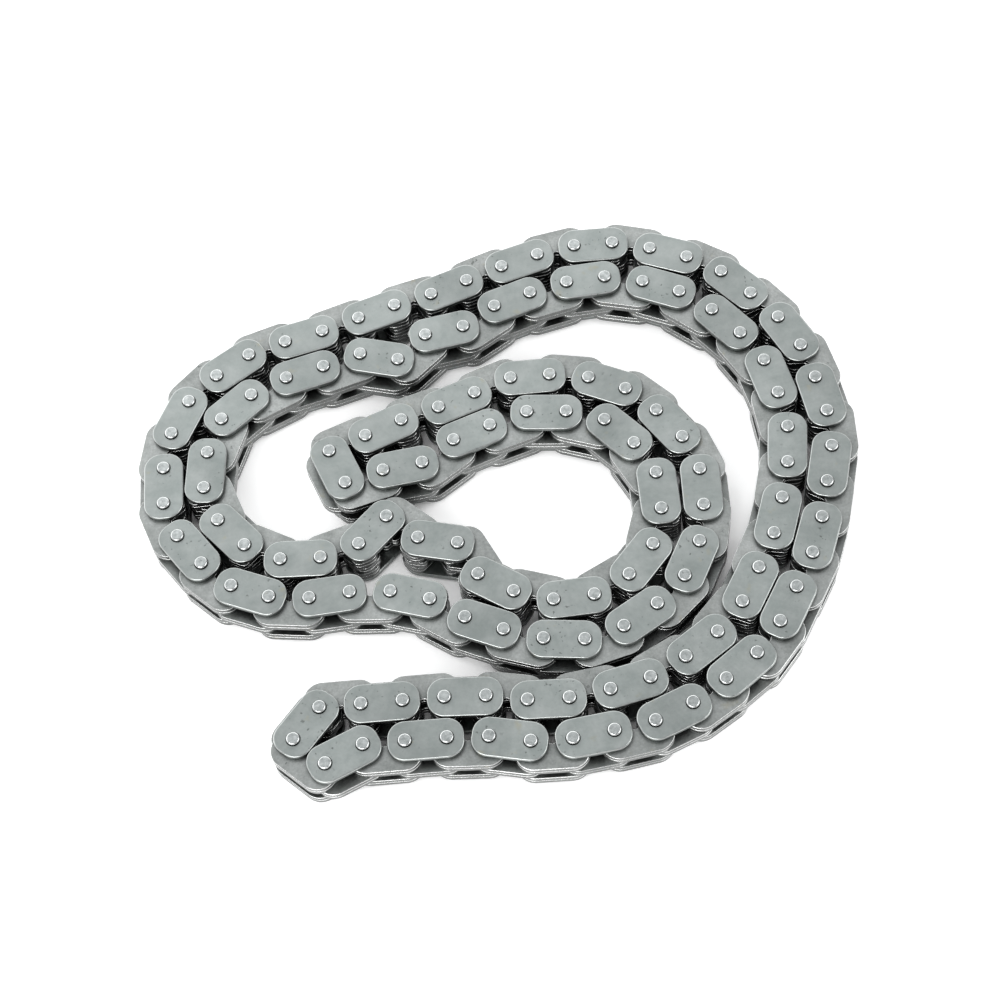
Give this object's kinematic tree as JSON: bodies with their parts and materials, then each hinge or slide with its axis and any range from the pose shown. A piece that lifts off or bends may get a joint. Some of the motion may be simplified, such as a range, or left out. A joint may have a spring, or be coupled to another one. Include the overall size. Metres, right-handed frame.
{
  "type": "silent chain",
  "caption": "Endless inverted-tooth (silent) timing chain of steel plates and pins, lying coiled in a double strand with its pins upright.",
  "frame": {"origin": "under the middle of the coil's bounding box, in the plane that the pin ends rest on", "axes": "+Z along the pins, upwards; +X along the coil's longer side, away from the folded outer end; +Y across it, away from the outer tail"},
  "size_m": [0.1456, 0.1198, 0.011],
  "materials": {
    "guide_steel": "satin",
    "tooth_steel": "brushed",
    "pin_steel": "polished"
  },
  "bodies": {
    "coil": {"coil_lower_guide_plates": "guide_steel", "coil_upper_guide_plates": "guide_steel", "coil_middle_tooth_plates": "tooth_steel", "coil_lower_tooth_plates": "tooth_steel", "coil_upper_tooth_plates": "tooth_steel", "coil_pins": "pin_steel"},
    "outer_tail_link_01": {"outer_tail_link_01_guide_plates": "guide_steel", "outer_tail_link_01_tooth_plates": "tooth_steel", "outer_tail_link_01_pins": "pin_steel"},
    "outer_tail_link_02": {"outer_tail_link_02_tooth_plates": "tooth_steel"},
    "outer_tail_link_03": {"outer_tail_link_03_guide_plates": "guide_steel", "outer_tail_link_03_tooth_plates": "tooth_steel", "outer_tail_link_03_pins": "pin_steel"},
    "outer_tail_link_04": {"outer_tail_link_04_tooth_plates": "tooth_steel"},
    "outer_tail_link_05": {"outer_tail_link_05_guide_plates": "guide_steel", "outer_tail_link_05_tooth_plates": "tooth_steel", "outer_tail_link_05_pins": "pin_steel"},
    "outer_tail_link_06": {"outer_tail_link_06_tooth_plates": "tooth_steel"},
    "outer_tail_link_07": {"outer_tail_link_07_guide_plates": "guide_steel", "outer_tail_link_07_tooth_plates": "tooth_steel", "outer_tail_link_07_pins": "pin_steel"},
    "outer_tail_link_08": {"outer_tail_link_08_tooth_plates": "tooth_steel"},
    "outer_tail_link_09": {"outer_tail_link_09_guide_plates": "guide_steel", "outer_tail_link_09_tooth_plates": "tooth_steel", "outer_tail_link_09_pins": "pin_steel"},
    "outer_tail_link_10": {"outer_tail_link_10_tooth_plates": "tooth_steel"},
    "outer_tail_link_11": {"outer_tail_link_11_guide_plates": "guide_steel", "outer_tail_link_11_tooth_plates": "tooth_steel", "outer_tail_link_11_pins": "pin_steel"},
    "outer_tail_link_12": {"outer_tail_link_12_tooth_plates": "tooth_steel"},
    "outer_tail_link_13": {"outer_tail_link_13_guide_plates": "guide_steel", "outer_tail_link_13_tooth_plates": "tooth_steel", "outer_tail_link_13_pins": "pin_steel"},
    "outer_tail_link_14": {"outer_tail_link_14_tooth_plates": "tooth_steel"},
    "outer_tail_link_15": {"outer_tail_link_15_guide_plates": "guide_steel", "outer_tail_link_15_tooth_plates": "tooth_steel", "outer_tail_link_15_pins": "pin_steel"},
    "outer_tail_link_16": {"outer_tail_link_16_tooth_plates": "tooth_steel"},
    "return_tail_link_01": {"return_tail_link_01_tooth_plates": "tooth_steel"},
    "return_tail_link_02": {"return_tail_link_02_guide_plates": "guide_steel", "return_tail_link_02_tooth_plates": "tooth_steel", "return_tail_link_02_pins": "pin_steel"},
    "return_tail_link_03": {"return_tail_link_03_tooth_plates": "tooth_steel"},
    "return_tail_link_04": {"return_tail_link_04_guide_plates": "guide_steel", "return_tail_link_04_tooth_plates": "tooth_steel", "return_tail_link_04_pins": "pin_steel"},
    "return_tail_link_05": {"return_tail_link_05_tooth_plates": "tooth_steel"},
    "return_tail_link_06": {"return_tail_link_06_guide_plates": "guide_steel", "return_tail_link_06_tooth_plates": "tooth_steel", "return_tail_link_06_pins": "pin_steel"},
    "inner_tail_link_01": {"inner_tail_link_01_tooth_plates": "tooth_steel"},
    "inner_tail_link_02": {"inner_tail_link_02_guide_plates": "guide_steel", "inner_tail_link_02_tooth_plates": "tooth_steel", "inner_tail_link_02_pins": "pin_steel"},
    "inner_tail_link_03": {"inner_tail_link_03_tooth_plates": "tooth_steel"},
    "inner_tail_link_04": {"inner_tail_link_04_guide_plates": "guide_steel", "inner_tail_link_04_tooth_plates": "tooth_steel", "inner_tail_link_04_pins": "pin_steel"}
  },
  "joints": [
    {"name": "outer_tail_link_01_pivot", "type": "hinge", "parent": "coil", "child": "outer_tail_link_01", "pos_m": [0.0621, -0.01546, 0.00551], "axis": [0, 0, 1], "range_deg": [0, 14]},
    {"name": "outer_tail_link_02_pivot", "type": "hinge", "parent": "outer_tail_link_01", "child": "outer_tail_link_02", "pos_m": [0.05893, -0.0228, 0.00551], "axis": [0, 0, 1], "range_deg": [0, 14]},
    {"name": "outer_tail_link_03_pivot", "type": "hinge", "parent": "outer_tail_link_02", "child": "outer_tail_link_03", "pos_m": [0.0546, -0.02954, 0.00551], "axis": [0, 0, 1], "range_deg": [0, 14]},
    {"name": "outer_tail_link_04_pivot", "type": "hinge", "parent": "outer_tail_link_03", "child": "outer_tail_link_04", "pos_m": [0.05023, -0.03623, 0.00551], "axis": [0, 0, 1], "range_deg": [0, 14]},
    {"name": "outer_tail_link_05_pivot", "type": "hinge", "parent": "outer_tail_link_04", "child": "outer_tail_link_05", "pos_m": [0.04476, -0.04207, 0.00551], "axis": [0, 0, 1], "range_deg": [0, 14]},
    {"name": "outer_tail_link_06_pivot", "type": "hinge", "parent": "outer_tail_link_05", "child": "outer_tail_link_06", "pos_m": [0.0381, -0.04651, 0.00551], "axis": [0, 0, 1], "range_deg": [0, 14]},
    {"name": "outer_tail_link_07_pivot", "type": "hinge", "parent": "outer_tail_link_06", "child": "outer_tail_link_07", "pos_m": [0.03113, -0.05042, 0.00551], "axis": [0, 0, 1], "range_deg": [0, 14]},
    {"name": "outer_tail_link_08_pivot", "type": "hinge", "parent": "outer_tail_link_07", "child": "outer_tail_link_08", "pos_m": [0.02357, -0.05306, 0.00551], "axis": [0, 0, 1], "range_deg": [0, 14]},
    {"name": "outer_tail_link_09_pivot", "type": "hinge", "parent": "outer_tail_link_08", "child": "outer_tail_link_09", "pos_m": [0.01562, -0.0539, 0.00551], "axis": [0, 0, 1], "range_deg": [0, 14]},
    {"name": "outer_tail_link_10_pivot", "type": "hinge", "parent": "outer_tail_link_09", "child": "outer_tail_link_10", "pos_m": [0.00764, -0.05445, 0.00551], "axis": [0, 0, 1], "range_deg": [0, 14]},
    {"name": "outer_tail_link_11_pivot", "type": "hinge", "parent": "outer_tail_link_10", "child": "outer_tail_link_11", "pos_m": [-0.00034, -0.05389, 0.00551], "axis": [0, 0, 1], "range_deg": [0, 14]},
    {"name": "outer_tail_link_12_pivot", "type": "hinge", "parent": "outer_tail_link_11", "child": "outer_tail_link_12", "pos_m": [-0.00807, -0.05183, 0.00551], "axis": [0, 0, 1], "range_deg": [0, 14]},
    {"name": "outer_tail_link_13_pivot", "type": "hinge", "parent": "outer_tail_link_12", "child": "outer_tail_link_13", "pos_m": [-0.01603, -0.05099, 0.00551], "axis": [0, 0, 1], "range_deg": [0, 14]},
    {"name": "outer_tail_link_14_pivot", "type": "hinge", "parent": "outer_tail_link_13", "child": "outer_tail_link_14", "pos_m": [-0.02402, -0.05056, 0.00551], "axis": [0, 0, 1], "range_deg": [0, 14]},
    {"name": "outer_tail_link_15_pivot", "type": "hinge", "parent": "outer_tail_link_14", "child": "outer_tail_link_15", "pos_m": [-0.03201, -0.05015, 0.00551], "axis": [0, 0, 1], "range_deg": [0, 5]},
    {"name": "outer_tail_link_16_pivot", "type": "hinge", "parent": "outer_tail_link_15", "child": "outer_tail_link_16", "pos_m": [-0.03948, -0.05302, 0.00551], "axis": [0, 0, 1], "range_deg": [0, 14]},
    {"name": "return_tail_link_01_pivot", "type": "hinge", "parent": "coil", "child": "return_tail_link_01", "pos_m": [0.00007, -0.04552, 0.00551], "axis": [0, 0, 1], "range_deg": [-6, 0]},
    {"name": "return_tail_link_02_pivot", "type": "hinge", "parent": "return_tail_link_01", "child": "return_tail_link_02", "pos_m": [-0.0077, -0.0436, 0.00551], "axis": [0, 0, 1], "range_deg": [-6, 0]},
    {"name": "return_tail_link_03_pivot", "type": "hinge", "parent": "return_tail_link_02", "child": "return_tail_link_03", "pos_m": [-0.01565, -0.04277, 0.00551], "axis": [0, 0, 1], "range_deg": [-6, 0]},
    {"name": "return_tail_link_04_pivot", "type": "hinge", "parent": "return_tail_link_03", "child": "return_tail_link_04", "pos_m": [-0.02364, -0.04233, 0.00551], "axis": [0, 0, 1], "range_deg": [-6, 0]},
    {"name": "return_tail_link_05_pivot", "type": "hinge", "parent": "return_tail_link_04", "child": "return_tail_link_05", "pos_m": [-0.03163, -0.04193, 0.00551], "axis": [0, 0, 1], "range_deg": [-6, 0]},
    {"name": "return_tail_link_06_pivot", "type": "hinge", "parent": "return_tail_link_05", "child": "return_tail_link_06", "pos_m": [-0.03962, -0.04154, 0.00551], "axis": [0, 0, 1], "range_deg": [-6, 0]},
    {"name": "inner_tail_link_01_pivot", "type": "hinge", "parent": "coil", "child": "inner_tail_link_01", "pos_m": [-0.01017, 0.02017, 0.00551], "axis": [0, 0, 1], "range_deg": [-10, 0]},
    {"name": "inner_tail_link_02_pivot", "type": "hinge", "parent": "inner_tail_link_01", "child": "inner_tail_link_02", "pos_m": [-0.01796, 0.01836, 0.00551], "axis": [0, 0, 1], "range_deg": [-10, 0]},
    {"name": "inner_tail_link_03_pivot", "type": "hinge", "parent": "inner_tail_link_02", "child": "inner_tail_link_03", "pos_m": [-0.02555, 0.01584, 0.00551], "axis": [0, 0, 1], "range_deg": [-10, 0]},
    {"name": "inner_tail_link_04_pivot", "type": "hinge", "parent": "inner_tail_link_03", "child": "inner_tail_link_04", "pos_m": [-0.03316, 0.01336, 0.00551], "axis": [0, 0, 1], "range_deg": [-10, 0]}
  ]
}
